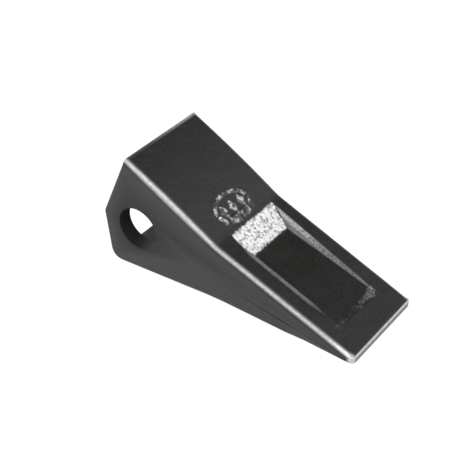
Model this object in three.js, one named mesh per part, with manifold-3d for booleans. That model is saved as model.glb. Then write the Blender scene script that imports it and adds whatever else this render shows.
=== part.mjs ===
// Excavator bucket tooth of the side-pin kind: a cast steel point with an open nose socket between two
// pointed ears, the steel pin that holds it on an adapter nose, and the lock washer that holds the pin.
// Millimetres, +Z up, +X towards the cutting edge, Y across the width.
// Everything is drawn with x = 0 at the point of the ears, y = 0 at mid width and z = 0 on the ground,
// then the whole group moves so that the origin is the centre of the socket's flat end.

import * as THREE from "three";
import { ConvexGeometry } from "three/addons/geometries/ConvexGeometry.js";
import { mergeVertices } from "three/addons/utils/BufferGeometryUtils.js";
import Module from "manifold-3d";

const wasm = await Module();
wasm.setup();

// ---- casting, outside ----
const LENGTH = 255; // point of the ears to the cutting edge
const REAR_WIDTH = 98; // across the ears
const SIDE_TAPER = 2.2; // each side, ears to cutting edge
const HEIGHT = 112; // rear top edge
const TOP_EDGE_X = 28; // rear top edge, ahead of the point of the ears
const EAR_POINT_Z = 49.5; // height of the point of the ears
const HEEL_X = 5; // lower rear corner of the ears
const HEEL_CUT = 11; // where the heel's round starts, from its corner
const BEND_X = 119.5; // where the socket part meets the blade
const BEND_Z = 60.3; // height of the top face there
const TOP_CROWN = 1.6; // bulge of the top face behind the bend
const BELLY_LIFT = 5.4; // clear height under the bend
const EDGE_THICKNESS = 7; // the blunt cutting edge
const SIDE_ROUND = 3.2; // round along both sides
const TIP_CORNER = 5.5; // radius of the cutting edge's corners, seen from above

// ---- nose socket ----
const EAR_WALL = 13; // side wall at the rear
const SOCKET_DRAFT = 5; // each side wall grows inwards by this much at the socket's end
const ROOF_WALL = 12; // square to the top face
const FLOOR_WALL = 12; // under the socket, at its mouth
const FLOOR_RISE = 6; // the floor climbs by this much to the socket's end
const FLOOR_START_X = 14; // rear end of the bottom wall
const SOCKET_END_X = 112; // the flat end that the nose bears on

// ---- recess in the blade ----
const RECESS_GAP = 1.5; // bend to the recess's rear rim
const RECESS_OPEN_SIDE = 28.3; // mid width to the rim on the open bore's side
const RECESS_WASHER_SIDE = 33.5; // and on the washer's side, at the rear rim
const RECESS_WASHER_FRONT = 27.6; // and there at the front rim
const RAMP_LENGTH = 19.5; // the sloping rear wall, along X
const RECESS_DEPTH = 8; // at the foot of the ramp, under the blade face
const RECESS_FRONT_DEPTH = 1; // at the front rim
const RECESS_WALL_LEAN = 0.6875; // run of each side wall for its depth
const RECESS_TIP_LAND = 24; // front rim to the cutting edge

// ---- oval mark, cast on behind the bend ----
const MARK_BACK = 14.5; // mark's centre, behind the bend
const MARK_SIDE = 2; // and towards the side with the open bore
const MARK_HALF_LENGTH = 14; // along the slope
const MARK_HALF_WIDTH = 21;
const MARK_BAND = 2.6; // width of its ring
const MARK_DASHES = 8; // pieces the ring is broken into
const DASH_SHARE = 0.76; // share of the ring that they cover
const DASH_STEPS = 6; // straight runs round each
const MARK_RAISED = 1.3;
const LOZENGE_SPACING = 11.5; // between its three lozenges, across the width
const LOZENGE_HALF_LENGTH = 5.4; // along the slope
const LOZENGE_HALF_WIDTH = 3.8;

// ---- pin and its bores ----
const PIN_X = 38;
const PIN_Z = 44.6;
const PIN_DIAMETER = 40;
const PIN_INSET = 1; // pin's ends, inside the ears' outer faces
const PIN_CHAMFER = 3;
const PIN_CENTRE = 4; // radius and depth of the turned centre in each end
const PIN_OUT = 31; // how far the pin stands out of its home place: started, not driven
const BORE_CLEARANCE = 1; // on the diameter
const GROOVE_DEPTH = 1.6;
const GROOVE_PLAY = 1; // each side of the washer's jaws
const GROOVE_SLOPE = 1.2; // length of each sloping groove side

// ---- lock washer, in a seat in the inner face of the ear away from the open bore ----
const WASHER_THICKNESS = 6.4;
const WASHER_SUNK = 0.6; // behind the ear's inner face
const JAW_COUNT = 4;
const JAW_DEPTH = 2.6; // radial
const JAW_SPACE = 14; // degrees between jaws
const RUBBER_DEPTH = 2.8; // radial
const SHELL_WALL = 1.7; // outer wall of the shell
const SHELL_LIP = 1.1; // thickness of its two side lips
const SHELL_LIP_REACH = 2; // how far each lip covers the rubber
const GAP = 0.3; // between pieces that touch

// ---- how finely round things are faceted ----
const ROUND_STEPS = 48;
const CORNER_STEPS = 5;
const EDGE_STEPS = 3;
const OVERSHOOT = 30; // how far a cutter runs past what it cuts

// ---- worked out ----
const TOP_SLOPE = (HEIGHT - BEND_Z) / (BEND_X - TOP_EDGE_X);
const BLADE_SLOPE = (BEND_Z - EDGE_THICKNESS) / (LENGTH - BEND_X);
const ROOF_DROP = ROOF_WALL * Math.hypot(1, TOP_SLOPE);
const FLOOR_SLOPE = FLOOR_RISE / (SOCKET_END_X - FLOOR_START_X);
const BORE_RADIUS = (PIN_DIAMETER + BORE_CLEARANCE) / 2;
const PIN_RADIUS = PIN_DIAMETER / 2;
const JAW_INNER = PIN_RADIUS + GAP;
const JAW_OUTER = JAW_INNER + JAW_DEPTH;
const RUBBER_INNER = JAW_OUTER + GAP;
const RUBBER_OUTER = RUBBER_INNER + RUBBER_DEPTH;
const SHELL_INNER = RUBBER_OUTER + GAP;
const SHELL_OUTER = SHELL_INNER + SHELL_WALL;
const SEAT_RADIUS = SHELL_OUTER + GAP;
const PIN_LENGTH = 2 * (outerHalf(PIN_X) - PIN_INSET);
const SEAT_FLOOR_Y = outerHalf(PIN_X) - EAR_WALL + WASHER_SUNK + WASHER_THICKNESS + GAP;
const WASHER_Y = SEAT_FLOOR_Y - GAP - WASHER_THICKNESS / 2;
const SOCKET_END_Z = (floorZ(SOCKET_END_X) + roofZ(SOCKET_END_X)) / 2;

// Half the casting's width at x: a straight taper.
function outerHalf(x) {
  return REAR_WIDTH / 2 - (SIDE_TAPER * x) / LENGTH;
}

// Half the socket's width at x: the ear wall, plus the draft that grows to the socket's end.
function socketHalf(x) {
  return outerHalf(x) - EAR_WALL - (SOCKET_DRAFT * x) / SOCKET_END_X;
}

// Height of the straight line under the crowned top face, behind the bend.
function topZ(x) {
  return HEIGHT - TOP_SLOPE * (x - TOP_EDGE_X);
}

// Height of the blade's top face, ahead of the bend.
function bladeZ(x) {
  return BEND_Z - BLADE_SLOPE * (x - BEND_X);
}

// Heights of the socket's roof and floor.
function roofZ(x) {
  return topZ(x) - ROOF_DROP;
}
function floorZ(x) {
  return FLOOR_WALL + FLOOR_SLOPE * (x - FLOOR_START_X);
}

// A closed outline from corners [u, v, cut]: each corner becomes a curve that starts and ends cut away from it.
function outline(corners) {
  const shape = new THREE.Shape();
  const count = corners.length;
  corners.forEach(([u, v, cut = 0], i) => {
    const corner = new THREE.Vector2(u, v);
    const before = new THREE.Vector2(...corners[(i + count - 1) % count].slice(0, 2));
    const after = new THREE.Vector2(...corners[(i + 1) % count].slice(0, 2));
    const start = before.sub(corner).setLength(cut).add(corner);
    const end = after.sub(corner).setLength(cut).add(corner);
    if (i === 0) shape.moveTo(start.x, start.y);
    else shape.lineTo(start.x, start.y);
    if (cut > 0) shape.quadraticCurveTo(corner.x, corner.y, end.x, end.y);
  });
  shape.closePath();
  return shape;
}

// A side-view outline (x, z) extruded across the width, centred on y = 0.
function acrossWidth(shape, width, round = 0) {
  const geometry = new THREE.ExtrudeGeometry(shape, {
    depth: width - 2 * round,
    curveSegments: CORNER_STEPS,
    bevelEnabled: round > 0,
    bevelThickness: round,
    bevelSize: round,
    bevelOffset: -round,
    bevelSegments: EDGE_STEPS,
  });
  return geometry.translate(0, 0, round - width / 2).rotateX(Math.PI / 2);
}

// Squeezes a geometry of half width 1 so that its half width at x is half(x).
function widen(geometry, half) {
  const place = geometry.attributes.position;
  for (let i = 0; i < place.count; i += 1) {
    place.setY(i, place.getY(i) * half(place.getX(i)));
  }
  return geometry;
}

// A closed geometry as a solid that can be joined and cut.
function solid(geometry) {
  const bare = geometry.index ? geometry.toNonIndexed() : geometry.clone();
  bare.deleteAttribute("normal");
  bare.deleteAttribute("uv");
  const merged = mergeVertices(bare, 1e-4);
  return new wasm.Manifold(
    new wasm.Mesh({
      numProp: 3,
      vertProperties: merged.attributes.position.array,
      triVerts: new Uint32Array(merged.index.array),
    }),
  );
}

// A named mesh from a solid, in flat facets.
function meshOf(name, made, material) {
  const { vertProperties, triVerts } = made.getMesh();
  const shared = new THREE.BufferGeometry();
  shared.setAttribute("position", new THREE.BufferAttribute(vertProperties, 3));
  shared.setIndex(new THREE.BufferAttribute(triVerts, 1));
  const geometry = shared.toNonIndexed();
  geometry.computeVertexNormals();
  const mesh = new THREE.Mesh(geometry, material);
  mesh.name = name;
  return mesh;
}

// A cylinder along Y between two places.
function barAlongY(radius, x, from, to, z) {
  const geometry = new THREE.CylinderGeometry(radius, radius, to - from, ROUND_STEPS);
  return solid(geometry.translate(x, (from + to) / 2, z));
}

// ---- casting ----

// Wedge seen from the side: pointed ears, heel, lifted belly, blunt edge, blade, bend and crowned top.
function wedge() {
  const crownX = (TOP_EDGE_X + BEND_X) / 2;
  const crownCut = (BEND_X - TOP_EDGE_X) * 0.45;
  const side = outline([
    [0, EAR_POINT_Z],
    [HEEL_X, 0, HEEL_CUT],
    [BEND_X, BELLY_LIFT, 14],
    [LENGTH, 0],
    [LENGTH, EDGE_THICKNESS],
    [BEND_X, BEND_Z, 6],
    [crownX, topZ(crownX) + 2 * TOP_CROWN, crownCut],
    [TOP_EDGE_X, HEIGHT],
  ]);
  const body = acrossWidth(side, REAR_WIDTH, SIDE_ROUND);
  return solid(widen(body, (x) => outerHalf(x) / (REAR_WIDTH / 2)));
}

// Rounds the cutting edge's two corners, seen from above.
function cornerTrim() {
  const half = outerHalf(LENGTH);
  const wide = REAR_WIDTH / 2 + OVERSHOOT;
  const shape = new THREE.Shape();
  shape.moveTo(-OVERSHOOT, -wide);
  shape.lineTo(LENGTH - 4 * TIP_CORNER, -wide);
  shape.lineTo(LENGTH - 4 * TIP_CORNER, -outerHalf(LENGTH - 4 * TIP_CORNER) - GAP);
  shape.lineTo(LENGTH - TIP_CORNER, -half);
  shape.absarc(LENGTH - TIP_CORNER, -half + TIP_CORNER, TIP_CORNER, -Math.PI / 2, 0, false);
  shape.absarc(LENGTH - TIP_CORNER, half - TIP_CORNER, TIP_CORNER, 0, Math.PI / 2, false);
  shape.lineTo(LENGTH - 4 * TIP_CORNER, outerHalf(LENGTH - 4 * TIP_CORNER) + GAP);
  shape.lineTo(LENGTH - 4 * TIP_CORNER, wide);
  shape.lineTo(-OVERSHOOT, wide);
  shape.closePath();
  const depth = HEIGHT + 2 * OVERSHOOT;
  const geometry = new THREE.ExtrudeGeometry(shape, {
    depth,
    curveSegments: CORNER_STEPS,
    bevelEnabled: false,
  });
  return solid(geometry.translate(0, 0, -OVERSHOOT));
}

// The space that the adapter nose fills, open to the rear; the bottom wall starts ahead of the ears' heel.
function socket() {
  const back = -OVERSHOOT;
  const roofBack = TOP_EDGE_X - OVERSHOOT / 2;
  const side = outline([
    [back, -OVERSHOOT],
    [FLOOR_START_X, -OVERSHOOT],
    [FLOOR_START_X, floorZ(FLOOR_START_X), 1.5],
    [SOCKET_END_X, floorZ(SOCKET_END_X), 1],
    [SOCKET_END_X, roofZ(SOCKET_END_X), 1],
    [roofBack, roofZ(roofBack)],
    [back, roofZ(roofBack)],
  ]);
  return solid(widen(acrossWidth(side, 2), socketHalf));
}

// The blade's recess: a ramp down from the rear rim, leaning side walls, and a floor that runs out to the front.
function recess() {
  const rear = BEND_X + RECESS_GAP;
  const foot = rear + RAMP_LENGTH;
  const front = LENGTH - RECESS_TIP_LAND;
  const frontFoot = front - 2 * RECESS_FRONT_DEPTH;
  const washerRim = (x) =>
    RECESS_WASHER_SIDE + ((RECESS_WASHER_FRONT - RECESS_WASHER_SIDE) * (x - rear)) / (front - rear);
  const corners = [
    [rear, 0],
    [front, 0],
    [rear, -OVERSHOOT],
    [front, -OVERSHOOT],
    [foot, RECESS_DEPTH],
    [frontFoot, RECESS_FRONT_DEPTH],
  ];
  const points = corners.flatMap(([x, depth]) => {
    const lean = RECESS_WALL_LEAN * Math.max(depth, 0);
    const z = bladeZ(x) - depth;
    return [
      new THREE.Vector3(x, washerRim(x) - lean, z),
      new THREE.Vector3(x, lean - RECESS_OPEN_SIDE, z),
    ];
  });
  return solid(new ConvexGeometry(points));
}

// One raised piece of the mark's broken oval ring, round an angle.
function ringDash(middle) {
  const reach = (DASH_SHARE * Math.PI) / MARK_DASHES;
  const bow = (inset, from, to) => {
    const length = MARK_HALF_LENGTH - inset;
    const width = MARK_HALF_WIDTH - inset;
    return new THREE.EllipseCurve(0, 0, length, width, from, to, from > to).getPoints(DASH_STEPS);
  };
  return new THREE.Shape([
    ...bow(0, middle - reach, middle + reach),
    ...bow(MARK_BAND, middle + reach, middle - reach),
  ]);
}

// Raised mark: a broken oval ring round three lozenges.
function mark() {
  const sunk = TOP_CROWN + 2;
  const shapes = [];
  for (let i = 0; i < MARK_DASHES; i += 1) {
    shapes.push(ringDash(((i + 0.5) * 2 * Math.PI) / MARK_DASHES));
  }
  for (const side of [-LOZENGE_SPACING, 0, LOZENGE_SPACING]) {
    shapes.push(
      outline([
        [-LOZENGE_HALF_LENGTH, side],
        [0, side - LOZENGE_HALF_WIDTH],
        [LOZENGE_HALF_LENGTH, side],
        [0, side + LOZENGE_HALF_WIDTH],
      ]),
    );
  }
  const x = BEND_X - MARK_BACK;
  const raise = TOP_CROWN * (1 - ((2 * (x - TOP_EDGE_X)) / (BEND_X - TOP_EDGE_X) - 1) ** 2);
  return shapes.map((shape) => {
    const geometry = new THREE.ExtrudeGeometry(shape, {
      depth: sunk + MARK_RAISED,
      bevelEnabled: false,
    });
    geometry.translate(0, 0, -sunk);
    geometry.rotateY(Math.atan(TOP_SLOPE));
    return solid(geometry.translate(x, -MARK_SIDE, topZ(x) + raise));
  });
}

// Both bores, and the washer's seat in the inner face of the +Y ear.
function pinBores() {
  const past = REAR_WIDTH / 2 + OVERSHOOT;
  const bore = barAlongY(BORE_RADIUS, PIN_X, -past, past, PIN_Z);
  const seat = barAlongY(SEAT_RADIUS, PIN_X, 0, SEAT_FLOOR_Y, PIN_Z);
  return bore.add(seat);
}

function toothPoint() {
  let cast = wedge().intersect(cornerTrim());
  for (const stroke of mark()) cast = cast.add(stroke);
  return cast.subtract(recess()).subtract(socket()).subtract(pinBores());
}

// ---- pin: chamfered ends with turned centres, and one ring groove for the washer's jaws ----
function retainingPin() {
  const end = PIN_LENGTH / 2;
  const grooveHalf = WASHER_THICKNESS / 2 + GROOVE_PLAY;
  const low = WASHER_Y - grooveHalf;
  const high = WASHER_Y + grooveHalf;
  const profile = [
    [0, -end + PIN_CENTRE],
    [PIN_CENTRE, -end],
    [PIN_RADIUS - PIN_CHAMFER, -end],
    [PIN_RADIUS, -end + PIN_CHAMFER],
    [PIN_RADIUS, low - GROOVE_SLOPE],
    [PIN_RADIUS - GROOVE_DEPTH, low],
    [PIN_RADIUS - GROOVE_DEPTH, high],
    [PIN_RADIUS, Math.min(high + GROOVE_SLOPE, end - PIN_CHAMFER - GAP)],
    [PIN_RADIUS, end - PIN_CHAMFER],
    [PIN_RADIUS - PIN_CHAMFER, end],
    [PIN_CENTRE, end],
    [0, end - PIN_CENTRE],
  ];
  const points = profile.map(([r, y]) => new THREE.Vector2(r, y));
  return solid(new THREE.LatheGeometry(points, ROUND_STEPS));
}

// ---- lock washer, drawn round its own axis with its middle at y = 0 ----

// A ring from a closed profile of [radius, y] corners.
function turnedRing(profile) {
  const points = [...profile, profile[0]].map(([r, y]) => new THREE.Vector2(r, y));
  return solid(new THREE.LatheGeometry(points, ROUND_STEPS));
}

// Pressed steel shell: an outer wall with two side lips turned inwards over the rubber.
function washerShell() {
  const half = WASHER_THICKNESS / 2;
  const lip = SHELL_INNER - SHELL_LIP_REACH;
  return turnedRing([
    [SHELL_OUTER, -half],
    [SHELL_OUTER, half],
    [lip, half],
    [lip, half - SHELL_LIP],
    [SHELL_INNER, half - SHELL_LIP],
    [SHELL_INNER, -half + SHELL_LIP],
    [lip, -half + SHELL_LIP],
    [lip, -half],
  ]);
}

// Rubber ring between the shell's lips.
function washerRubber() {
  const half = WASHER_THICKNESS / 2 - SHELL_LIP - GAP;
  return turnedRing([
    [RUBBER_OUTER, -half],
    [RUBBER_OUTER, half],
    [RUBBER_INNER, half],
    [RUBBER_INNER, -half],
  ]);
}

// One hardened jaw: a piece of ring that spans its share of the circle less the space to the next one.
function washerJaw() {
  const span = THREE.MathUtils.degToRad(360 / JAW_COUNT - JAW_SPACE);
  const shape = new THREE.Shape();
  shape.absarc(0, 0, JAW_OUTER, -span / 2, span / 2, false);
  shape.absarc(0, 0, JAW_INNER, span / 2, -span / 2, true);
  shape.closePath();
  return solid(acrossWidthOfJaw(shape));
}

function acrossWidthOfJaw(shape) {
  const depth = WASHER_THICKNESS - 2 * GAP;
  const geometry = new THREE.ExtrudeGeometry(shape, {
    depth,
    curveSegments: ROUND_STEPS / JAW_COUNT,
    bevelEnabled: false,
  });
  return geometry.translate(0, 0, -depth / 2).rotateX(Math.PI / 2);
}

// ---- finishes ----
function finish(color, roughness, metalness) {
  return new THREE.MeshStandardMaterial({ color, roughness, metalness });
}

// ---- assembly ----
const castGroup = new THREE.Group();
castGroup.add(meshOf("tooth_point", toothPoint(), finish(0x3a3938, 0.45, 0.2)));

const pinGroup = new THREE.Group();
pinGroup.position.set(PIN_X, PIN_OUT, PIN_Z);
pinGroup.add(meshOf("retaining_pin", retainingPin(), finish(0x8c8a86, 0.35, 1)));

const washerGroup = new THREE.Group();
washerGroup.position.set(PIN_X, WASHER_Y, PIN_Z);
washerGroup.add(meshOf("washer_shell", washerShell(), finish(0x9a9993, 0.4, 1)));
washerGroup.add(meshOf("washer_rubber", washerRubber(), finish(0x171717, 0.85, 0)));
for (let i = 0; i < JAW_COUNT; i += 1) {
  const jaw = meshOf(`washer_jaw_${i + 1}`, washerJaw(), finish(0x77756f, 0.4, 1));
  jaw.rotation.y = (2 * Math.PI * (i + 0.5)) / JAW_COUNT;
  washerGroup.add(jaw);
}

const bucketTooth = new THREE.Group();
bucketTooth.position.set(-SOCKET_END_X, 0, -SOCKET_END_Z);
bucketTooth.add(castGroup, pinGroup, washerGroup);

export default bucketTooth;
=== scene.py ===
import math

import bmesh
import bpy
import numpy as np
from mathutils import Matrix, Vector


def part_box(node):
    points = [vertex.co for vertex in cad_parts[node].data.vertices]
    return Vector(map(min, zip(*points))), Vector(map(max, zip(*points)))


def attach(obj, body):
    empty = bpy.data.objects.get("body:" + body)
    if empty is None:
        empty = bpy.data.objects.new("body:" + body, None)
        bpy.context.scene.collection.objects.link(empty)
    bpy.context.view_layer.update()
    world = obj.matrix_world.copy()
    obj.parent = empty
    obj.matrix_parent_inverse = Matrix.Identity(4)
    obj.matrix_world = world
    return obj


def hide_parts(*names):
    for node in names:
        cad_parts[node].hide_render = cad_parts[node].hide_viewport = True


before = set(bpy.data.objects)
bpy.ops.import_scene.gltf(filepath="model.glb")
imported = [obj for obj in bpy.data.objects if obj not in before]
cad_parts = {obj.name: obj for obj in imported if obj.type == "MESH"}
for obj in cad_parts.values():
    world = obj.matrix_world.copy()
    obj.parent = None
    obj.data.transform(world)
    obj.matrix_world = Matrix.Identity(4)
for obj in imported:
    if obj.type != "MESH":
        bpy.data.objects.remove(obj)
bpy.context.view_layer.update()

# Lengths are in millimetres until a mesh is made: x ahead of the point of the ears, y from mid width,
# z above the ground. ZERO is where that drawing's zero lies in the row frame.
tooth_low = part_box("tooth_point")[0]
ZERO = np.array([tooth_low.x, 0.0, tooth_low.z]) * 1000


def drawn(node):
    """A CAD node's lowest and highest corners in drawing millimetres."""
    low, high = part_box(node)
    return np.array(low) * 1000 - ZERO, np.array(high) * 1000 - ZERO


# ---- casting, outside ----
LENGTH, REAR_HALF, SIDE_TAPER, HEIGHT = 255.0, 49.0, 2.2, 112.0
TOP_EDGE_X, BEND_X, BEND_Z = 28.0, 119.5, 60.3
EDGE_THICKNESS, BELLY_LIFT, EAR_POINT_Z, HEEL_X = 7.0, 5.4, 49.5, 5.0
TOP_CROWN = 1.6
TIP_CORNER = 5.5
TOP_SLOPE = (HEIGHT - BEND_Z) / (BEND_X - TOP_EDGE_X)
BLADE_SLOPE = (BEND_Z - EDGE_THICKNESS) / (LENGTH - BEND_X)
BELLY_SLOPE = BELLY_LIFT / (LENGTH - BEND_X)

# Sides and corners of the outline run from the point of the ears along the underside to the tip, and back
# along the top: EDGE_ROUNDS is each side's edge radius and CORNER_CUTS how far each corner's curve reaches.
EDGE_ROUNDS = (2.4, 2.4, 2.4, 1.7, 6.0, 6.0, 2.4)
CORNER_CUTS = (1.6, 11.0, 14.0, 1.4, 1.3, 5.0, 1.3)
ROUND_STEPS = 9

# Crease on each flank near the tip: a straight line from its rear to its tip (x, z). The flank leans in
# below it by LEAN to 1, which starts at FADE to 1 from the rear. All of it lies past CREASE_Y.
CREASE_REAR, CREASE_TIP, CREASE_LEAN, CREASE_FADE = (190.0, 16.0), (254.0, 2.2), 0.11, 0.5
CREASE_Y, CREASE_BLEND = 46.0, 8.0

# ---- recess in the blade ----
RECESS_REAR, RECESS_FOOT, RECESS_RUNOUT, RECESS_FRONT = 121.0, 140.5, 229.0, 231.0
RECESS_DEPTH, RUNOUT_DEPTH, WALL_LEAN = 8.0, 1.0, 0.6875
OPEN_RIM, WASHER_RIM, WASHER_RIM_FRONT = 28.3, 33.5, 27.6   # from mid width to the rim on each side
OPEN_RIM_PINCH, PINCH_LENGTH = 3.0, 7.0      # the open bore's rim starts closer in, over this length
SLOPED_RIM, SLOPED_SHIFT, SLOPED_LEAN = 2.0, 1.8, 2.5       # that rim's slope: reach out and in, lean
SLOPED_END = (200.0, 224.0)                  # where the slope fades out
RECESS_FILLET, RECESS_EDGE, OPEN_EDGE_EXTRA = 0.45, 0.3, 0.35
FINE_HALF, FINE_COLUMNS = 36.0, 132          # half width and number of the top's closely spaced columns

# ---- oval mark ----
MARK_X, MARK_Y, MARK_HALF_LENGTH, MARK_HALF_WIDTH = 105.0, -2.0, 14.0, 21.0
MARK_BAND, MARK_RAISED, MARK_DASHES, DASH_SHARE = 2.6, 1.3, 8, 0.76
LOZENGE_SPACING, LOZENGE_HALF_LENGTH, LOZENGE_HALF_WIDTH = 11.5, 5.4, 3.8

# ---- cast surface: height, pitch and seed of each layer of noise ----
GRAIN = ((0.20, 1.6, 3), (0.13, 1.05, 4))
SWELL = ((0.10, 17.0, 5), (0.05, 7.0, 6))
MARK_UNEVEN = ((0.16, 2.1, 11),)
RAMP_RAGGED_X, RAMP_RAGGED_Y = ((0.6, 2.1, 21),), ((0.6, 2.1, 22),)
LIP_RAGGED, LIP_PATCHES = ((1.5, 3.3, 23),), ((0.9, 4.2, 24),)

# ---- socket, pin bores, pin, lock washer ----
SOCKET_END, FLOOR_START, FLOOR_WALL, FLOOR_RISE = 112.0, 14.0, 12.0, 6.0
EAR_WALL, SOCKET_DRAFT, ROOF_START, ROOF_DROP = 13.0, 5.0, 13.0, 12 * math.hypot(1, TOP_SLOPE)
SOCKET_FILLET, CUTTER_REACH, BORE_CUTTER_HALF, CUT_EDGE_BEVEL = 2.5, 30.0, 80.0, 1.1
PIN_X, PIN_Z, PIN_RADIUS, BORE_RADIUS = 38.0, 44.6, 20.0, 20.5
SEAT_GAP, JAWS = 0.3, 4
shell_low, shell_high = drawn("washer_shell")
SHELL_RADIUS = (shell_high[0] - shell_low[0]) / 2
WASHER_Y = (shell_low[1] + shell_high[1]) / 2
WASHER_HALF = (shell_high[1] - shell_low[1]) / 2
SEAT_RADIUS, SEAT_FLOOR_Y = SHELL_RADIUS + SEAT_GAP, shell_high[1] + SEAT_GAP


def outer_half(x):
    """Half the casting's width at x: a straight taper from the ears to the cutting edge."""
    return REAR_HALF - SIDE_TAPER * x / LENGTH


def socket_half(x):
    """Half the socket's width at x: the outside, less the ear wall and the draft that grows along it."""
    return outer_half(x) - EAR_WALL - SOCKET_DRAFT * x / SOCKET_END


def top_z(x):
    """Height of the straight lines under the top: the rear slope, then the blade's slope after the bend."""
    return np.where(x < BEND_X, BEND_Z + TOP_SLOPE * (BEND_X - x), BEND_Z - BLADE_SLOPE * (x - BEND_X))


def ease(value, low, high):
    """0 below low, 1 above high, and a smooth step between them."""
    t = np.clip((value - low) / (high - low), 0, 1)
    return t * t * (3 - 2 * t)


def lattice_noise(a, b, pitch, seed):
    """Smooth noise from -1 to 1: random heights on a square lattice of that pitch, eased between points."""
    table = np.random.default_rng(seed).uniform(-1, 1, (256, 256))
    a, b = np.asarray(a) / pitch, np.asarray(b) / pitch
    i, j = np.floor(a).astype(int), np.floor(b).astype(int)
    s, t = a - i, b - j
    s, t = s * s * (3 - 2 * s), t * t * (3 - 2 * t)
    near = table[i % 256, j % 256] * (1 - s) + table[(i + 1) % 256, j % 256] * s
    far = table[i % 256, (j + 1) % 256] * (1 - s) + table[(i + 1) % 256, (j + 1) % 256] * s
    return near * (1 - t) + far * t


def layered(x, y, layers):
    """The sum of layers of lattice noise, each its height times the noise of its pitch and seed."""
    return sum(height * lattice_noise(x, y, pitch, seed) for height, pitch, seed in layers)


# ---- relief of the top: crown, mark and recess ----

def recess_planes(x, y):
    """Depths under the blade of the recess's ramp, floor, front lip and side walls, each a plane that falls
    or rises along x or away from its rim: the recess's depth is the least of them."""
    along = np.clip((x - RECESS_REAR) / (RECESS_FRONT - RECESS_REAR), 0, 1)
    washer_rim = WASHER_RIM + (WASHER_RIM_FRONT - WASHER_RIM) * along
    open_rim = OPEN_RIM - OPEN_RIM_PINCH * np.exp(-np.maximum(x - RECESS_REAR, 0) / PINCH_LENGTH)
    ramp = (x - RECESS_REAR) * RECESS_DEPTH / (RECESS_FOOT - RECESS_REAR)
    fall = (RECESS_DEPTH - RUNOUT_DEPTH) / (RECESS_RUNOUT - RECESS_FOOT)
    floor = RECESS_DEPTH - fall * (x - RECESS_FOOT)
    front = (RECESS_FRONT - x) * RUNOUT_DEPTH / (RECESS_FRONT - RECESS_RUNOUT)
    worn = ease(x, RECESS_FOOT - 8, RECESS_FOOT + 4) * (1 - ease(x, *SLOPED_END))
    sloped = (open_rim + SLOPED_RIM * worn + y) / SLOPED_LEAN
    open_wall = np.maximum((open_rim - SLOPED_SHIFT * worn + y) / WALL_LEAN, sloped)
    wall = np.where(y > 0, (washer_rim - y) / WALL_LEAN, open_wall)
    return np.stack([ramp, floor, front, wall])


def recess_depth(x, y):
    """The least of the recess's planes, with fillets from a soft minimum and a rounded rim from a soft
    maximum with 0; the rim on the open bore's side is rounder. The soft minimum is minus the fillet times the
    logarithm of the sum of exp(-plane / fillet), and the soft maximum the rim times the logarithm of
    1 + exp(least / rim)."""
    planes = np.clip(recess_planes(x, y), -30, 30)
    rounder = ease(-y, 10, 24) * ease(x, 128, 150) * (1 - ease(x, 205, 228))
    rim = RECESS_EDGE + OPEN_EDGE_EXTRA * rounder
    least = -RECESS_FILLET * np.log(np.exp(-planes / RECESS_FILLET).sum(axis=0))
    return rim * np.log1p(np.exp(np.clip(least / rim, -60, 60)))


def mark_distance(x, y):
    """Distance outside the mark's raised pieces, less than 0 on them: the lesser of the distances to a broken
    oval ring and to the three lozenges in it."""
    a = (x - MARK_X) * math.hypot(1, TOP_SLOPE)
    b = y - MARK_Y
    length, width = MARK_HALF_LENGTH - MARK_BAND / 2, MARK_HALF_WIDTH - MARK_BAND / 2
    far, reach = np.hypot(a / length, b / width), np.hypot(a, b)
    ring = np.abs(far - 1) * reach / np.maximum(far, 0.01) - MARK_BAND / 2
    part = np.arctan2(b / width, a / length) * MARK_DASHES / (2 * math.pi)
    past = np.abs(part - np.floor(part) - 0.5) - DASH_SHARE / 2
    dashes = np.maximum(ring, past * reach * 2 * math.pi / MARK_DASHES)
    across = np.minimum(np.abs(b), np.abs(np.abs(b) - LOZENGE_SPACING))
    steep = 1 / math.hypot(1 / LOZENGE_HALF_LENGTH, 1 / LOZENGE_HALF_WIDTH)
    lozenges = (np.abs(a) / LOZENGE_HALF_LENGTH + across / LOZENGE_HALF_WIDTH - 1) * steep
    return np.minimum(dashes, lozenges)


def ramp_share(x, y):
    """1 where the ramp is the recess's lowest plane, falling to 0 within a millimetre of its ragged edges.
    The
    paint puts bright rough steel there: partly rough-cast metal, partly a painted highlight where the ramp
    faces the light.
    """
    x, y = x + layered(x, y, RAMP_RAGGED_X), y + layered(x, y, RAMP_RAGGED_Y)
    ramp, floor, front, wall = recess_planes(x, y)
    return ease(ramp, -0.3, 0.5) * ease(floor - ramp, -0.5, 0.4) * ease(wall - ramp, 0.0, 1.3)


def wall_share(x, y):
    """1 where the washer side's wall is the recess's lowest plane, fading with its depth and to 0 on the open
    bore's side. It puts bright steel on that rough wall as a painted highlight where the wall faces the
    light, with painted shade deeper down and in its corner with the ramp, where the share falls."""
    ramp, floor, front, wall = recess_planes(x, y)
    upright = ease(wall, -0.2, 1.2) * ease(np.minimum(floor, front + 2) - wall, -2.2, 0.8)
    shaded = 0.75 * ease(wall, 2.6, 5.4)
    return upright * ease(ramp - wall, 0.9, 2.2) * ease(y, -30, 0) * (1 - shaded)


def rim_share(x, y):
    """1 on the sloped rim at the open bore's side, where a little steel shows: partly rubbed paint, partly a
    painted highlight on the rounded rim.
    """
    wall = recess_planes(x, y)[-1]
    along = ease(x, RECESS_REAR + 2, RECESS_FOOT - 6) * (1 - ease(x, 196, 222))
    return along * ease(wall, -0.3, 0.5) * (1 - ease(wall, 1.8, 3.0)) * ease(-y, 10, 24)


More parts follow.
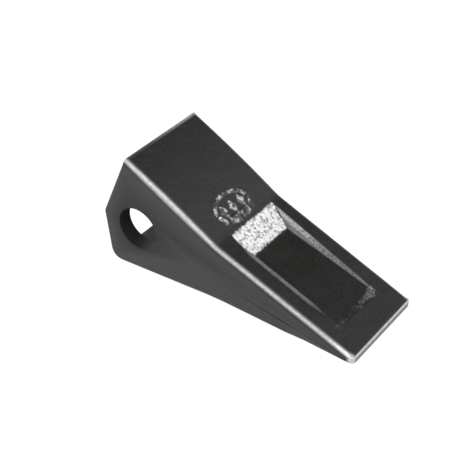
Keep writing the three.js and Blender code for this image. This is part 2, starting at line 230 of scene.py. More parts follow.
def lip_share(x, y):
    """1 on the recess's front lip at its washer-side corner, thinner and patchier across the width: steel
    showing there is partly rubbed paint and partly a painted highlight on the lip's edge, brightest at that
    corner.
    """
    wall = recess_planes(x, y)[-1]
    x = x + layered(x, y, LIP_RAGGED)
    patches = np.clip(0.55 + layered(x, y, LIP_PATCHES), 0, 1)
    reach = 3.0 + 4.5 * ease(y, 15, 27)
    lip = ease(x, RECESS_RUNOUT - reach, RECESS_RUNOUT - 0.5)
    lip *= 1 - ease(x, RECESS_FRONT - 0.5, RECESS_FRONT + 1.5)
    along = 0.25 + 0.75 * ease(y, -6, 26)
    return lip * ease(wall, -2.0, 0.5) * along * (along + (1 - along) * patches)


def relief(x, y):
    """Height added to the straight top: a parabola as the crown behind the bend, plus the mark, less the
    recess, plus grain on the rough-cast faces and a slow swell everywhere."""
    t = np.clip((x - TOP_EDGE_X) / (BEND_X - TOP_EDGE_X), 0, 1)
    crown = 4 * TOP_CROWN * t * (1 - t)
    raised = MARK_RAISED * math.hypot(1, TOP_SLOPE) * (1 - ease(mark_distance(x, y), -0.45, 0.55))
    raised *= 1 + layered(x, y, MARK_UNEVEN)
    rough = ramp_share(x, y) + 0.7 * wall_share(x, y)
    return crown + raised - recess_depth(x, y) + rough * layered(x, y, GRAIN) + layered(x, y, SWELL)


# ---- surfaces ----

def shares(count):
    """Evenly spaced shares from 0 up to, but without, 1."""
    return np.linspace(0, 1, count, endpoint=False)


def side_outline(corners, cuts, runs, turns):
    """Points round polygons of corners (..., n, 2): straight runs, and at each corner a quadratic curve that
    starts and ends a cut away from it. runs and turns hold the shares of each run and curve where points
    lie."""
    after = np.roll(corners, -1, axis=-2)
    way = after - corners
    way = way / np.linalg.norm(way, axis=-1, keepdims=True)
    leave = corners + way * np.array(cuts)[:, None]
    arrive = after - way * np.roll(cuts, -1)[:, None]
    pieces = []
    for i, run in enumerate(runs):
        j = (i + 1) % len(runs)
        t = np.asarray(run)[:, None]
        pieces.append(leave[..., i, None, :] + t * (arrive - leave)[..., i, None, :])
        s = np.asarray(turns[j])[:, None]
        pieces.append((1 - s) ** 2 * arrive[..., i, None, :] + 2 * s * (1 - s) * corners[..., j, None, :]
                      + s ** 2 * leave[..., j, None, :])
    return np.concatenate(pieces, axis=-2)


def along_outline(values, runs, turns):
    """One number per side of a polygon, at each point of its outline, eased across the corners."""
    pieces = []
    for i, run in enumerate(runs):
        j = (i + 1) % len(runs)
        pieces.append(np.full(len(run), values[i]))
        pieces.append(values[i] + (values[j] - values[i]) * ease(np.asarray(turns[j]), 0, 1))
    return np.concatenate(pieces)


def moved_in(corners, depths):
    """Corners (..., n, 2) of a polygon whose sides all move inwards, side i by depths[..., i]: each corner
    goes to where its two moved sides meet, found from the two sides' inward normals by Cramer's rule."""
    after = np.roll(corners, -1, axis=-2)
    way = after - corners
    way = way / np.linalg.norm(way, axis=-1, keepdims=True)
    turn = np.sign(np.sum(corners[..., 0] * after[..., 1] - corners[..., 1] * after[..., 0], axis=-1))
    inward = np.stack([-way[..., 1], way[..., 0]], axis=-1) * turn[..., None, None]
    before, depths_before = np.roll(inward, 1, axis=-2), np.roll(depths, 1, axis=-1)
    det = before[..., 0] * inward[..., 1] - before[..., 1] * inward[..., 0]
    shift_u = (depths_before * inward[..., 1] - before[..., 1] * depths) / det
    shift_v = (before[..., 0] * depths - depths_before * inward[..., 0]) / det
    return corners + np.stack([shift_u, shift_v], axis=-1)


def mesh_object(name, points, faces, material=None):
    """An object whose mesh has these points, in drawing millimetres, and these faces, turned outwards."""
    mesh = bpy.data.meshes.new(name)
    mesh.from_pydata(((np.asarray(points) + ZERO) / 1000).tolist(), [], faces)
    work = bmesh.new()
    work.from_mesh(mesh)
    bmesh.ops.recalc_face_normals(work, faces=work.faces)
    work.to_mesh(mesh)
    work.free()
    piece = bpy.data.objects.new(name, mesh)
    bpy.context.scene.collection.objects.link(piece)
    if material:
        mesh.materials.append(material)
    return piece


def drawing_points(mesh):
    """The mesh's points in drawing millimetres, as an array of (x, y, z) rows."""
    flat = np.empty(len(mesh.vertices) * 3, np.float32)
    mesh.vertices.foreach_get("co", flat)
    return flat.astype(float).reshape(-1, 3) * 1000 - ZERO


def grid_faces(rows, columns, wrap_rows=False, wrap_columns=False):
    """Quads between neighbours of a grid whose point (i, j) is number i * columns + j."""
    i = np.arange(rows if wrap_rows else rows - 1)[:, None]
    j = np.arange(columns if wrap_columns else columns - 1)[None, :]
    i2, j2 = (i + 1) % rows, (j + 1) % columns
    quads = [i * columns + j, i * columns + j2, i2 * columns + j2, i2 * columns + j]
    return np.stack(np.broadcast_arrays(*quads), axis=-1).reshape(-1, 4).tolist()


def slab(name, corners, cuts, runs, turns, rounds, half, flat, middle, steps=5, place=None):
    """A side outline carried across the width. From each side face the outline grows outwards along a quarter
    circle of that many steps, by 1 - sin, while it moves in from half(x), by 1 - cos; flat gives the columns
    between the quarter circles, as shares of the half width there. Each side face is a fan of triangles round
    middle, a point (x, z) that sees the whole outline. place bends the whole grid at the end."""
    quarter = np.linspace(0, math.pi / 2, steps)
    dip = np.concatenate([1 - np.sin(quarter), np.zeros(len(flat)), 1 - np.sin(quarter[::-1])])
    lean = np.concatenate([1 - np.cos(quarter), np.ones(len(flat)), 1 - np.cos(quarter[::-1])])
    share = np.concatenate([-np.ones(len(quarter)), flat, np.ones(len(quarter))])
    corners = np.asarray(corners, float)
    if corners.ndim == 2:
        corners = np.broadcast_to(corners, (len(dip),) + corners.shape)
    inset = moved_in(corners, dip[:, None] * np.asarray(rounds)[None, :])
    loops = side_outline(inset, cuts, runs, turns)
    edge_round = along_outline(rounds, runs, turns)[None, :]
    x, z = loops[..., 0], loops[..., 1]
    share = share[:, None]
    edge = half(x) - edge_round * lean[:, None]
    y = share * edge
    if place:
        x, y, z = place(x, y, z, edge, share)
    rows, columns = x.shape
    fans = [(middle[0], -half(middle[0]), middle[1]), (middle[0], half(middle[0]), middle[1])]
    points = np.concatenate([np.stack([x, y, z], axis=-1).reshape(-1, 3), fans])
    faces = grid_faces(rows, columns, wrap_columns=True)
    for first, hub in ((0, rows * columns), ((rows - 1) * columns, rows * columns + 1)):
        rim = first + np.arange(columns)
        faces += np.stack([rim, np.roll(rim, -1), np.full(columns, hub)], axis=-1).tolist()
    return mesh_object(name, points, faces)


def turned(name, profile, steps, material=None, closed=False):
    """A profile of (radius, y) points turned round the pin's axis: each point becomes a ring of radius times
    sine and cosine. An open profile's end rings are closed with flat faces."""
    profile = np.asarray(profile, float)
    angle = np.arange(steps) * 2 * math.pi / steps
    x = PIN_X + profile[:, 0, None] * np.sin(angle)
    z = PIN_Z + profile[:, 0, None] * np.cos(angle)
    y = np.broadcast_to(profile[:, 1, None], x.shape)
    faces = grid_faces(len(profile), steps, wrap_rows=closed, wrap_columns=True)
    if not closed:
        last = (len(profile) - 1) * steps
        faces += [list(range(steps)), list(range(last, last + steps))]
    return mesh_object(name, np.stack([x, y, z], axis=-1).reshape(-1, 3), faces, material)


def rounded_profile(corners, cuts, curve=4):
    """A closed profile whose corners are quadratic curves."""
    corners = np.asarray(corners, float)
    return side_outline(corners, cuts, [[0.0, 0.5]] * len(corners), [shares(curve)] * len(corners))


def evaluated(piece):
    """The piece's mesh with its modifiers worked out, put in their place."""
    bpy.context.view_layer.update()
    done = piece.evaluated_get(bpy.context.evaluated_depsgraph_get())
    mesh = bpy.data.meshes.new_from_object(done)
    piece.modifiers.clear()
    piece.data = mesh
    return piece


def cut_away(body, cutter):
    """Body less cutter."""
    cut = body.modifiers.new("cut", "BOOLEAN")
    cut.operation, cut.solver, cut.object = "DIFFERENCE", "EXACT", cutter
    evaluated(body)
    bpy.data.objects.remove(cutter)


# ---- casting ----

def tip_setback(y):
    """How far the cutting edge lies back at y: a quarter circle at each corner."""
    past = np.clip(np.abs(y) - (outer_half(LENGTH) - TIP_CORNER), 0, TIP_CORNER)
    return TIP_CORNER - np.sqrt(TIP_CORNER ** 2 - past ** 2)


def outline_shares():
    """Shares of each side and corner of the casting's outline where it has points: they lie close together
    over the recess, its two ends and the mark."""
    past_recess = np.concatenate([[253.4, 252.6], np.linspace(251.5, 234, 12)])
    front_lip = np.linspace(232.6, 226, 14)
    over_floor = np.linspace(225, 143, 84)
    over_ramp = np.linspace(142.4, 125.2, 36)
    blade_x = np.concatenate([past_recess, front_lip, over_floor, over_ramp])
    over_mark, past_mark = np.linspace(114, 86, 58), np.linspace(84.8, 30.5, 36)
    rear_x = np.concatenate([over_mark, past_mark])
    blade = np.concatenate([[0], (LENGTH - blade_x) / (LENGTH - BEND_X)])
    rear = np.concatenate([[0], (BEND_X - rear_x) / (BEND_X - TOP_EDGE_X)])
    runs = [shares(14), shares(20), shares(40), shares(4), blade, rear, shares(20)]
    turns = [shares(count) for count in (5, 10, 8, 5, 5, 14, 5)]
    return runs, turns


def casting_skin():
    """Closed outside of the casting: its side outline with rounded corners, carried across the width, with
    the relief added to the top. Each column's tip lies back by its setback, and the columns over the recess
    keep their y all along, while those outside them spread to the edge."""
    tip_round = EDGE_ROUNDS[3]
    tip_edge = outer_half(LENGTH) - tip_round
    inner = np.linspace(-FINE_HALF, FINE_HALF, FINE_COLUMNS)
    outer = np.array([0.15, 0.3, 0.5, 0.7, 0.85, 0.95])
    spread = FINE_HALF + outer * (tip_edge - FINE_HALF)
    flat = np.concatenate([-spread[::-1], inner, spread]) / tip_edge
    quarter = np.linspace(0, math.pi / 2, ROUND_STEPS)
    rise = outer_half(LENGTH) - tip_round * (1 - np.cos(quarter))
    back = tip_setback(np.concatenate([-rise, flat * tip_edge, rise[::-1]]))
    corners = [(0, EAR_POINT_Z), (HEEL_X, 0), (BEND_X, BELLY_LIFT),
               (LENGTH - back, BELLY_SLOPE * back), (LENGTH - back, EDGE_THICKNESS + BLADE_SLOPE * back),
               (BEND_X, BEND_Z), (TOP_EDGE_X, HEIGHT)]
    corners = np.stack([np.stack([x + 0 * back, z + 0 * back], -1) for x, z in corners], axis=1)
    runs, turns = outline_shares()
    top = along_outline((0, 0, 0, 0, 1, 1, 0), runs, turns)[None, :]

    def with_relief(x, y, z, edge, share):
        inside = np.abs(share) * tip_edge
        near = np.clip(inside / FINE_HALF, 0, 1) * FINE_HALF
        wide = np.clip((inside - FINE_HALF) / (tip_edge - FINE_HALF), 0, 1)
        y = np.where(inside < tip_edge, np.sign(share) * (near + wide * (edge - FINE_HALF)), y)
        lift = np.where(top > 0.999, relief(x, y), 0.0)
        return x, y, z + lift

    return slab("tooth_casting", corners, CORNER_CUTS, runs, turns, EDGE_ROUNDS, outer_half, flat,
                middle=(100.0, 30.0), steps=ROUND_STEPS, place=with_relief)


def socket_cutter():
    """The space for the adapter nose: its side outline carried across the socket's width, with small fillets.
    It reaches well out of the casting behind and below."""
    floor_end = FLOOR_WALL + FLOOR_RISE
    roof_end = top_z(SOCKET_END) - ROOF_DROP
    roof_back = top_z(ROOF_START) - ROOF_DROP
    corners = [(-CUTTER_REACH, -CUTTER_REACH), (FLOOR_START, -CUTTER_REACH), (FLOOR_START, FLOOR_WALL),
               (SOCKET_END, floor_end), (SOCKET_END, roof_end), (ROOF_START, roof_back),
               (-CUTTER_REACH, roof_back)]
    cuts = (0.5, 0.5, 2.0, 3.0, 3.0, 0.5, 0.5)
    runs, turns = [[0.0, 0.5]] * len(corners), [shares(5)] * len(corners)
    rounds = [SOCKET_FILLET] * len(corners)
    return slab("socket_cutter", corners, cuts, runs, turns, rounds, socket_half, [], middle=(8.0, 35.0))


def edge_glint(x, y, z):
    """How much of the paint shows steel on the outside edges, from 0 to 1: partly paint rubbed thin, partly a
    painted highlight where the rounded edges catch the light. It is the greatest of the top's two long edges,
    the cutting edge's upper and lower lines, face and corners, and the top's rear edge."""
    half, tip_half, ahead = outer_half(x), outer_half(LENGTH), x - LENGTH
    long_edges = ease(np.abs(y), half - 4.6, half - 2.4) * ease(z, top_z(x) - 4.2, top_z(x) - 2.0)
    # Painted highlight: the long edges get a little less from x 60 to 130 and more towards the tip.
    long_edges *= 0.62 - 0.10 * ease(x, 60, 130) + 0.40 * ease(x, 225, 250)
    # Cutting edge's lines, face and corners: partly rubbed paint, partly painted highlight.
    upper_line = ease(ahead, -1.3, -0.5) * ease(z, EDGE_THICKNESS - 1.7, EDGE_THICKNESS - 0.6)
    lower_line = 0.7 * ease(ahead, -1.6, -0.3) * (1 - ease(z, 0.9, 2.2))
    face = 0.12 * ease(ahead, -1.2, -0.3)
    tip_corners = ease(ahead, -7, -3) * ease(np.abs(y), tip_half - 5.5, tip_half - 2.5)
    rear_edge = (1 - ease(x, TOP_EDGE_X + 0.4, TOP_EDGE_X + 2.2)) * ease(z, HEIGHT - 4, HEIGHT - 1.8)
    # Painted highlight: the rear edge grows brighter towards the washer side.
    rear_edge *= 0.15 + 0.85 * ease(y, -25, 42)
    return np.clip(np.max([long_edges, upper_line, lower_line, face, tip_corners, rear_edge], axis=0), 0, 1)


def hollow_share(x, y, z):
    """1 on the walls of the bores and the socket, to within a small reach of them, and 0 outside them. There
    the paint is made darker and rougher as painted shade.
    """
    reach, mouth, roof_top = 0.4, 8.0, HEIGHT - 14
    bore = np.hypot(x - PIN_X, z - PIN_Z) < BORE_RADIUS + reach
    floor = FLOOR_WALL + FLOOR_RISE * (x - FLOOR_START) / (SOCKET_END - FLOOR_START)
    roof = np.minimum(top_z(x) - ROOF_DROP, roof_top)
    socket = (z > floor - reach) & (z < roof + reach) & (x > mouth) & (x < SOCKET_END + reach)
    socket &= np.abs(y) < socket_half(x) + reach
    return np.where(bore | socket, 1.0, 0.0)


def set_wear_and_light(piece):
    """Gives each vertex of the casting its shares of ramp, wall, mark, lip, rim and edge, where steel shows,
    partly rubbed paint and partly painted highlight, and of the darker paint inside, which is painted shade."""
    x, y, z = drawing_points(piece.data).T
    top = z > top_z(x) - RECESS_DEPTH - 1.2
    wear_and_light = {
        "ramp": np.where(top, ramp_share(x, y), 0),
        "wall": np.where(top, wall_share(x, y), 0),
        "mark": np.where(top & (x < BEND_X), 1 - ease(mark_distance(x, y), -0.5, 1.1), 0),
        "lip": np.where(top, lip_share(x, y), 0),
        "rim": np.where(top, rim_share(x, y), 0),
        "edge": edge_glint(x, y, z),
        "inside": hollow_share(x, y, z),
    }
    for name, values in wear_and_light.items():
        layer = piece.data.attributes.new(name, "FLOAT", "POINT")
        layer.data.foreach_set("value", values.astype(np.float32))


def lean_underflanks(piece):
    """Leans both flanks in under a straight crease near the tip: each flank is cut along the crease and two
    lines from its rear end, and what lies below the crease moves in by a share of its depth there, fading to
    the rear."""
    work = bmesh.new()
    work.from_mesh(piece.data)
    rear_x, rear_z = CREASE_REAR
    fall = (CREASE_TIP[1] - rear_z) / (CREASE_TIP[0] - rear_x)
    spot = (np.array([rear_x, 0.0, rear_z]) + ZERO) / 1000
    for way_x, way_z in ((-fall, 1.0), (1.0, 0.0), (-fall + CREASE_FADE, 1.0)):
        faces = [f for f in work.faces if all(abs(v.co.y) * 1000 > CREASE_Y for v in f.verts)]
        edges = dict.fromkeys(e for f in faces for e in f.edges)
        verts = dict.fromkeys(v for f in faces for v in f.verts)
        bmesh.ops.bisect_plane(work, geom=[*faces, *edges, *verts], dist=1e-7, plane_co=spot,
                               plane_no=(way_x, 0, way_z))
    work.to_mesh(piece.data)
    work.free()
    place = drawing_points(piece.data)
    x, y, z = place.T
    below = rear_z + fall * (x - rear_x) - z
    depth = CREASE_LEAN * np.clip(np.minimum(below, CREASE_FADE * (x - rear_x)), 0, None)
    place[:, 1] -= np.sign(y) * depth * ease(np.abs(y), outer_half(x) - CREASE_BLEND, outer_half(x))
    piece.data.vertices.foreach_set("co", ((place + ZERO) / 1000).astype(np.float32).ravel())
    piece.data.update()


def soften_cut_edges(piece, width):
    """Joins the flat faces below the top into whole faces, then rounds the sharp edges that the cutters
    left."""
    flat_angle, sharp_angle, top_rim_z = math.radians(0.15), math.radians(38), 103
    x, y, z = drawing_points(piece.data).T
    low = (np.abs(y) > outer_half(x) - 0.02) | (z < top_z(x) - RECESS_DEPTH - 1.5)
    work = bmesh.new()
    work.from_mesh(piece.data)
    edges = [e for e in work.edges if low[e.verts[0].index] and low[e.verts[1].index]]
    verts = [v for v in work.verts if low[v.index]]
    bmesh.ops.dissolve_limit(work, angle_limit=flat_angle, verts=verts, edges=edges)
    sharp = [e for e in work.edges if len(e.link_faces) == 2 and e.calc_face_angle_signed(0) > sharp_angle
             and min(v.co.z * 1000 - ZERO[2] for v in e.verts) < top_rim_z]
    bmesh.ops.bevel(work, geom=sharp, offset=width / 1000, offset_type="OFFSET", segments=3, profile=0.5,
                    affect="EDGES", clamp_overlap=True)
    work.to_mesh(piece.data)
    work.free()


def smooth_shaded(piece, angle=35):
    """Smooth shading that stays flat on large faces, with sharp edges past an angle."""
    piece.data.shade_smooth()
    piece.data.set_sharp_from_angle(angle=math.radians(angle))
    weigh = piece.modifiers.new("weigh", "WEIGHTED_NORMAL")
    weigh.keep_sharp = True
    weigh.weight = 60
    return evaluated(piece)


def make_casting(material):
    """The tooth itself: skin, less socket, bores and the washer's seat, with its cut edges rounded."""
    piece = casting_skin()
    lean_underflanks(piece)
    cut_away(piece, socket_cutter())
    both_ears = [(BORE_RADIUS, -BORE_CUTTER_HALF), (BORE_RADIUS, BORE_CUTTER_HALF)]
    cut_away(piece, turned("bore_cutter", both_ears, 96))
    washer_seat = [(SEAT_RADIUS, 0), (SEAT_RADIUS, SEAT_FLOOR_Y)]
    cut_away(piece, turned("seat_cutter", washer_seat, 120))
    soften_cut_edges(piece, CUT_EDGE_BEVEL)
    smooth_shaded(piece)
    set_wear_and_light(piece)
    piece.data.materials.append(material)
    return piece


# ---- pin and lock washer ----

def make_pin(material):
    """The pin: chamfered ends with turned centres and an edge radius, and one groove for the washer's jaws.
    Driven home, its middle lies at mid width and its groove at the washer."""
    low, high = drawn("retaining_pin")
    start, end = low[1], high[1]
    groove, groove_half = WASHER_Y + (start + end) / 2, WASHER_HALF + 1.0
    groove_radius, groove_slope = PIN_RADIUS - 1.6, 1.2
    chamfer, centre_radius, centre_tip = 3.0, 4.0, 0.25
    centre_depth = centre_radius - centre_tip
    corners = [(centre_tip, start + centre_depth), (centre_radius, start),
               (PIN_RADIUS - chamfer, start), (PIN_RADIUS, start + chamfer),
               (PIN_RADIUS, groove - groove_half - groove_slope), (groove_radius, groove - groove_half),
               (groove_radius, groove + groove_half),
               (PIN_RADIUS, min(groove + groove_half + groove_slope, end - chamfer - 0.3)),
               (PIN_RADIUS, end - chamfer), (PIN_RADIUS - chamfer, end),
               (centre_radius, end), (centre_tip, end - centre_depth)]
    cuts = (0.02, 0.35, 0.6, 0.6, 0.35, 0.35, 0.35, 0.1, 0.1, 0.6, 0.35, 0.02)
    curve = 5
    loop = side_outline(np.array(corners), cuts, [[0.0]] * len(corners), [shares(curve)] * len(corners))
    return turned("pin_body", np.roll(loop, -1, axis=0)[:-curve], 128, material)


def make_washer_shell(material):
    """Pressed shell: a channel section, open towards the pin, with soft bends."""
    lip, inner, wall, half = SHELL_RADIUS - 3.7, SHELL_RADIUS - 1.7, 1.1, WASHER_HALF
    corners = [(SHELL_RADIUS, -half), (SHELL_RADIUS, half), (lip, half), (lip, half - wall),
               (inner, half - wall), (inner, -half + wall), (lip, -half + wall), (lip, -half)]
    cuts = (1.0, 1.0, 0.45, 0.45, 0.5, 0.5, 0.45, 0.45)
    return turned("washer_case", rounded_profile(corners, cuts) + [0, WASHER_Y], 128, material, closed=True)


def make_washer_rubber(material):
    """Rubber ring with rounded corners and a slightly hollow inner face."""
    inner, outer, half, hollow = SHELL_RADIUS - 4.8, SHELL_RADIUS - 2.0, WASHER_HALF - 1.4, 0.25
    corners = [(outer, -half), (outer, half), (inner, half), (inner + hollow, 0), (inner, -half)]
    profile = rounded_profile(corners, (0.4, 0.4, 0.5, 1.0, 0.5)) + [0, WASHER_Y]
    return turned("washer_cushion", profile, 128, material, closed=True)


def make_jaw(number, material):
    """A jaw: a rounded section carried round its share of the circle, drawn in a little at its two ends."""
    span, end_round = math.radians(76), 0.45
    inner, outer, half = PIN_RADIUS + 0.3, PIN_RADIUS + 2.9, WASHER_HALF - 0.3
    section = rounded_profile([(outer, -half), (outer, half), (inner, half), (inner, -half)],
                              (0.4, 0.4, 0.7, 0.7))
    middle = np.array([(inner + outer) / 2, 0.0])
    centre = 2 * math.pi * (number - 0.5) / JAWS + math.pi / 2
    soft = end_round / PIN_RADIUS
    between = np.linspace(soft, span - soft, 26)
    angle = np.concatenate([[0, 0.3 * soft], between, [span - 0.3 * soft, span]]) - span / 2
    scale = np.ones(len(angle))
    scale[[0, -1]], scale[[1, -2]] = 0.80, 0.93
    ring = middle + (section - middle)[None] * scale[:, None, None]
    turn = (centre + angle)[:, None]
    x = PIN_X + ring[..., 0] * np.sin(turn)
    z = PIN_Z + ring[..., 0] * np.cos(turn)
    y = WASHER_Y + ring[..., 1]
    rows, columns = x.shape
    faces = grid_faces(rows, columns, wrap_columns=True)
    faces += [list(range(columns)), list(range((rows - 1) * columns, rows * columns))]
    return mesh_object(f"jaw_{number}", np.stack([x, y, z], -1).reshape(-1, 3), faces, material)


# ---- materials ----

class Nodes:
    """Short calls for making and joining a material's nodes."""

    def __init__(self, name):
        self.material = bpy.data.materials.new(name)
        self.material.use_nodes = True
        self.tree = self.material.node_tree
        self.shader = self.tree.nodes["Principled BSDF"]
        self.place = self.tree.nodes.new("ShaderNodeTexCoord").outputs["Object"]

    def put(self, socket, value):
        """Joins another node's output to a socket, or sets the socket to a value."""
        if isinstance(value, bpy.types.NodeSocket):
            self.tree.links.new(value, socket)
        else:
            socket.default_value = value

    def noise(self, per_metre, detail=4.0, rough=0.55, stretch=(1, 1, 1)):
        """Noise with that many cells to the metre."""
        spot = self.tree.nodes.new("ShaderNodeMapping")
        self.put(spot.inputs["Vector"], self.place)
        spot.inputs["Scale"].default_value = stretch
        node = self.tree.nodes.new("ShaderNodeTexNoise")
        self.put(node.inputs["Vector"], spot.outputs["Vector"])
        node.inputs["Scale"].default_value = per_metre
        node.inputs["Detail"].default_value = detail
        node.inputs["Roughness"].default_value = rough
        return node.outputs["Fac"]

    def separate(self, vector, axis):
        """One coordinate of a point."""
        node = self.tree.nodes.new("ShaderNodeSeparateXYZ")
        self.put(node.inputs["Vector"], vector)
        return node.outputs[axis]

    def share(self, name):
        """A number that the mesh carries at each vertex."""
        node = self.tree.nodes.new("ShaderNodeAttribute")
        node.attribute_name = name
        return node.outputs["Fac"]

    def math(self, operation, a, b):
        """Two numbers, or two outputs, put together by an operation."""
        node = self.tree.nodes.new("ShaderNodeMath")
        node.operation = operation
        self.put(node.inputs[0], a)
        self.put(node.inputs[1], b)
        return node.outputs[0]

    def step(self, value, low, high, to_low=0.0, to_high=1.0):
        """A value's smooth step between two limits, from to_low to to_high."""
        node = self.tree.nodes.new("ShaderNodeMapRange")
        node.interpolation_type = "SMOOTHSTEP"
        self.put(node.inputs["Value"], value)
        node.inputs["From Min"].default_value = low
        node.inputs["From Max"].default_value = high
        self.put(node.inputs["To Min"], to_low)
        self.put(node.inputs["To Max"], to_high)
        return node.outputs["Result"]

    def mix(self, factor, a, b, colour=True):
        """a where the factor is 0 and b where it is 1: colours, or numbers."""
        node = self.tree.nodes.new("ShaderNodeMix")
        node.data_type = "RGBA" if colour else "FLOAT"
        ends = ("A_Color", "B_Color") if colour else ("A_Float", "B_Float")
        self.put(node.inputs[0], factor)
        for end, value in zip(ends, (a, b)):
            socket = next(s for s in node.inputs if s.identifier == end)
            if colour and not isinstance(value, bpy.types.NodeSocket):
                value = (*value, 1)
            self.put(socket, value)
        return next(s for s in node.outputs if s.identifier == ("Result_Color" if colour else "Result_Float"))

    def bump(self, height, depth, strength, under=None):
        """A normal that leans with a height of that depth in metres, over another bump if one is given."""
        node = self.tree.nodes.new("ShaderNodeBump")
        self.put(node.inputs["Strength"], strength)
        node.inputs["Distance"].default_value = depth
        self.put(node.inputs["Height"], height)
        if under is not None:
            self.put(node.inputs["Normal"], under)
        return node.outputs["Normal"]

    def finish(self, **sockets):
        """The material, with these sockets of its shader joined or set."""
        for name, value in sockets.items():
            self.put(self.shader.inputs[name.replace("_", " ")], value)
        return self.material


def charcoal_paint():
    """Satin charcoal paint over cast steel, with grain of the sand mould. Bright steel shows on the ramp, the
    washer side's wall, the mark, lip, rim and edges: partly rough metal and rubbed paint, partly painted
    highlights and glints where these catch the light. Inside the bores and socket the paint is darker as
    painted shade."""
    n = Nodes("charcoal_paint")
    coarse, fine, patch = n.noise(260, 5, 0.6), n.noise(900, 3, 0.6), n.noise(38, 3, 0.5)
    grit, specks, blotch = n.noise(350, 2, 0.6), n.noise(560, 3, 0.7), n.noise(150, 2, 0.5)
    dark_paint, mid_paint = (0.0046, 0.0045, 0.0039), (0.0078, 0.0077, 0.0069)
    pale_paint, painted_shade_inside_paint = (0.0145, 0.0142, 0.0128), (0.0022, 0.0021, 0.0019)
    bare_steel_and_highlight = (0.84, 0.84, 0.83)

    # Ramp: bright rough steel, partly rough-cast metal, partly a painted highlight of the ramp facing the
    # light.
    ramp = n.math("MULTIPLY", n.share("ramp"), n.step(grit, 0.35, 0.56, 0.26, 0.86))
    # Washer side's wall: painted highlight, speckled, fading towards the tip.
    fading_ahead = n.step(n.separate(n.place, "X"), 0.03, 0.085, 0.21, 0.04)
    speckled = n.math("MULTIPLY", fading_ahead, n.step(specks, 0.38, 0.62, 0.42, 1.45))
    wall = n.math("MULTIPLY", n.share("wall"), speckled)
    # Mark: blotches of steel on the raised pieces, partly rubbed paint, partly painted glints.
    worn_off_and_glints = n.math("MULTIPLY", n.step(blotch, 0.42, 0.56, 0.05, 0.60), n.step(grit, 0.40, 0.60, 0.15, 1.0))
    mark = n.math("MULTIPLY", n.share("mark"), worn_off_and_glints)
    # Front lip: speckled steel, partly rubbed paint, partly painted highlight.
    lip = n.math("MULTIPLY", n.share("lip"), n.step(specks, 0.40, 0.66, 0.02, 0.22))
    # Edges: steel showing, partly rubbed paint, partly painted highlight.
    edge = n.math("MULTIPLY", n.share("edge"), n.step(coarse, 0.30, 0.60, 0.38, 0.52))
    # Rim: a little steel, partly rubbed paint, partly painted highlight.
    rim = n.math("MULTIPLY", n.share("rim"), n.step(coarse, 0.30, 0.60, 0.07, 0.13))
    # The greatest of the shares: where steel shows, partly rubbed paint, partly painted highlight.
    bare_and_highlit = ramp
    for wear_and_light in (wall, mark, lip, edge, rim):
        bare_and_highlit = n.math("MAXIMUM", bare_and_highlit, wear_and_light)

    paint = n.mix(patch, dark_paint, mid_paint)
    paint = n.mix(n.step(coarse, 0.60, 0.78), paint, pale_paint)
    # Painted shade: darker, rougher paint inside the bores and socket.
    paint = n.mix(n.share("inside"), paint, painted_shade_inside_paint)
    gloss = n.mix(patch, 0.27, 0.36, colour=False)
    gloss = n.mix(n.share("inside"), gloss, 0.66, colour=False)
    gloss = n.math("ADD", gloss, n.step(fine, 0.3, 0.7, -0.04, 0.06))
    normal = n.bump(patch, 0.0012, 0.25)
    normal = n.bump(coarse, 0.0006, 0.35, normal)
    normal = n.bump(fine, 0.00018, 0.45, normal)
    gritty = n.math("MAXIMUM", n.share("ramp"), n.math("MULTIPLY", n.share("wall"), 0.5))
    normal = n.bump(grit, 0.0014, n.math("MULTIPLY", gritty, 0.95), normal)
    return n.finish(Base_Color=n.mix(bare_and_highlit, paint, bare_steel_and_highlight), Metallic=n.math("MULTIPLY", bare_and_highlit, 0.8),
                    Roughness=gloss, Normal=normal, Specular_IOR_Level=0.42)


def turned_steel(name, light, dark, gloss, rings_per_metre):
    """Turned steel under a film of oil: fine rings round the pin's axis, darker patches, small scratches."""
    n = Nodes(name)
    rings = n.noise(rings_per_metre, 2, 0.5, (0.02, 1, 0.02))
    stain = n.noise(55, 4, 0.6)
    scratch = n.noise(700, 3, 0.7, (1, 0.06, 1))
    colour = n.mix(n.step(stain, 0.38, 0.66), light, dark)
    colour = n.mix(n.step(scratch, 0.66, 0.76), colour, dark)
    rough = n.step(stain, 0.3, 0.7, gloss, gloss + 0.16)
    normal = n.bump(rings, 0.00006, 0.6)
    normal = n.bump(scratch, 0.00005, 0.4, normal)
    return n.finish(Base_Color=colour, Metallic=1.0, Roughness=rough, Normal=normal)


def moulded_rubber():
    """Matt black rubber with a fine moulded skin and a little dust."""
    n = Nodes("moulded_rubber")
    skin, dust = n.noise(1500, 3), n.noise(90, 4)
    colour = n.mix(n.step(dust, 0.45, 0.75), (0.012, 0.012, 0.012), (0.035, 0.033, 0.031))
    rough = n.step(dust, 0.3, 0.7, 0.62, 0.82)
    return n.finish(Base_Color=colour, Roughness=rough, Normal=n.bump(skin, 0.0001, 0.6))


def pale_floor():
    """Plain near-white floor with a little light of its own."""
    n = Nodes("pale_floor")
    tone = n.noise(6, 2)
    return n.finish(Base_Color=n.mix(tone, (0.24, 0.24, 0.24), (0.26, 0.26, 0.26)), Roughness=0.85,
                    Emission_Color=(1, 1, 1, 1), Emission_Strength=0.85)


# ---- stage, light and camera ----

SKY_OVERHEAD, SKY_AHEAD, SKY_BEHIND = 0.05, 1.50, 2.2
HORIZON_LIGHT, HORIZON_NEAR = 1.0, 0.35
FLOOR_REACH, FLOOR_DROP, FLOOR_SIDES = 4000.0, 0.05, 96


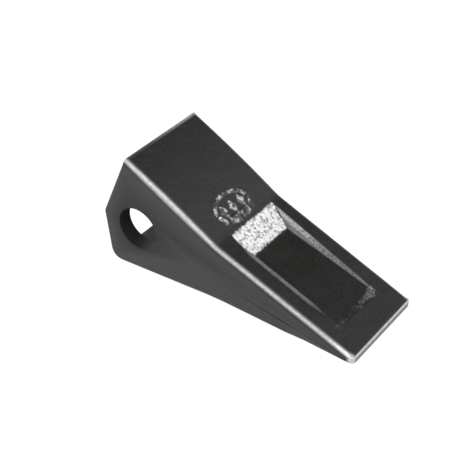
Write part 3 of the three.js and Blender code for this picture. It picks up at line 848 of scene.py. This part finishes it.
def add_floor():
    """A round floor whose rim, reach times cosine and sine, runs far past the view."""
    angle = np.arange(FLOOR_SIDES) * 2 * math.pi / FLOOR_SIDES
    rim = np.stack([FLOOR_REACH * np.cos(angle), FLOOR_REACH * np.sin(angle), 0 * angle - FLOOR_DROP], -1)
    floor = mesh_object("floor", rim, [list(range(FLOOR_SIDES))], pale_floor())
    if floor.data.polygons[0].normal.z < 0:
        floor.data.flip_normals()


def add_soft_box(name, place, aim, size, power):
    """A soft box at a place, facing aim, in metres and watts."""
    light = bpy.data.lights.new(name, "AREA")
    light.shape, light.size, light.size_y, light.energy = "RECTANGLE", size[0], size[1], power
    light.color = (0.94, 0.96, 1.0)
    lamp = bpy.data.objects.new(name, light)
    lamp.location = place
    lamp.rotation_euler = (Vector(aim) - Vector(place)).to_track_quat("-Z", "Y").to_euler()
    bpy.context.scene.collection.objects.link(lamp)


def add_surround():
    """White surround: dim overhead, brighter ahead of the tooth and behind it, and white along the horizon
    but for a dimmer part just above it on the open bore's side."""
    world = bpy.data.worlds.new("surround")
    bpy.context.scene.world = world
    world.use_nodes = True
    tree = world.node_tree
    way = tree.nodes.new("ShaderNodeTexCoord").outputs["Generated"]
    parts = tree.nodes.new("ShaderNodeSeparateXYZ")
    tree.links.new(way, parts.inputs["Vector"])

    def stepped(value, low, high, to_low, to_high):
        """A value's smooth step between two limits, from to_low to to_high."""
        node = tree.nodes.new("ShaderNodeMapRange")
        node.interpolation_type = "SMOOTHSTEP"
        tree.links.new(value, node.inputs["Value"])
        limits = {"From Min": low, "From Max": high, "To Min": to_low, "To Max": to_high}
        for socket, given in limits.items():
            if isinstance(given, bpy.types.NodeSocket):
                tree.links.new(given, node.inputs[socket])
            else:
                node.inputs[socket].default_value = given
        return node.outputs["Result"]

    behind = stepped(parts.outputs["X"], -0.62, -0.34, SKY_BEHIND, SKY_OVERHEAD)
    sky = stepped(parts.outputs["X"], -0.05, 0.42, behind, SKY_AHEAD)
    horizon = stepped(parts.outputs["Y"], -0.70, 0.0, HORIZON_NEAR, HORIZON_LIGHT)
    level = stepped(parts.outputs["Z"], -0.03, 0.06, HORIZON_LIGHT, horizon)
    glow = stepped(parts.outputs["Z"], 0.12, 0.42, level, sky)
    background = tree.nodes["Background"]
    background.inputs["Color"].default_value = (1, 1, 1, 1)
    tree.links.new(glow, background.inputs["Strength"])


def add_camera():
    """The camera looks at a point near the middle of the tooth, with a small roll and a little shift."""
    lens, roll = 87.4, math.radians(-0.26)
    shift_x, shift_y = -0.03966, 0.0211
    place, aim = Vector((0.4694, -0.6349, 0.5981)), Vector((0.0153, 0.0, -0.0001))
    camera = bpy.data.cameras.new("camera")
    camera.lens, camera.sensor_width = lens, 36
    camera.shift_x, camera.shift_y = shift_x, shift_y
    camera.dof.use_dof = False
    eye = bpy.data.objects.new("camera", camera)
    turn = (aim - place).to_track_quat("-Z", "Y").to_matrix().to_4x4()
    eye.matrix_world = Matrix.Translation(place) @ turn @ Matrix.Rotation(roll, 4, "Z")
    bpy.context.scene.collection.objects.link(eye)
    bpy.context.scene.camera = eye


def add(piece, body, slot, *nodes):
    """Lets a finished piece ride on its body and stand for its CAD node, whose part it hides. slot is not
    used.
    """
    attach(piece, body)
    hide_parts(*nodes)


add_camera()
add_floor()
add_surround()
add_soft_box("front_box", (0.30, -1.05, 1.00), (0, 0, 0), (1.4, 1.1), 24)

add(make_casting(charcoal_paint()), "tooth", "painted_casting", "tooth_point")
bright_steel = turned_steel("pin_steel", (0.46, 0.45, 0.43), (0.30, 0.29, 0.27), 0.26, 900)
zinc = turned_steel("zinc_plate", (0.60, 0.59, 0.55), (0.45, 0.44, 0.40), 0.32, 500)
dark_steel = turned_steel("jaw_steel", (0.30, 0.29, 0.27), (0.18, 0.17, 0.16), 0.34, 700)
add(smooth_shaded(make_pin(bright_steel)), "pin", "pin_steel", "retaining_pin")
add(smooth_shaded(make_washer_shell(zinc)), "tooth", "washer_steel", "washer_shell")
add(smooth_shaded(make_washer_rubber(moulded_rubber())), "tooth", "washer_rubber", "washer_rubber")
for number in range(1, JAWS + 1):
    add(smooth_shaded(make_jaw(number, dark_steel)), "tooth", "jaw_steel", f"washer_jaw_{number}")

bpy.context.scene.view_settings.view_transform = "Standard"
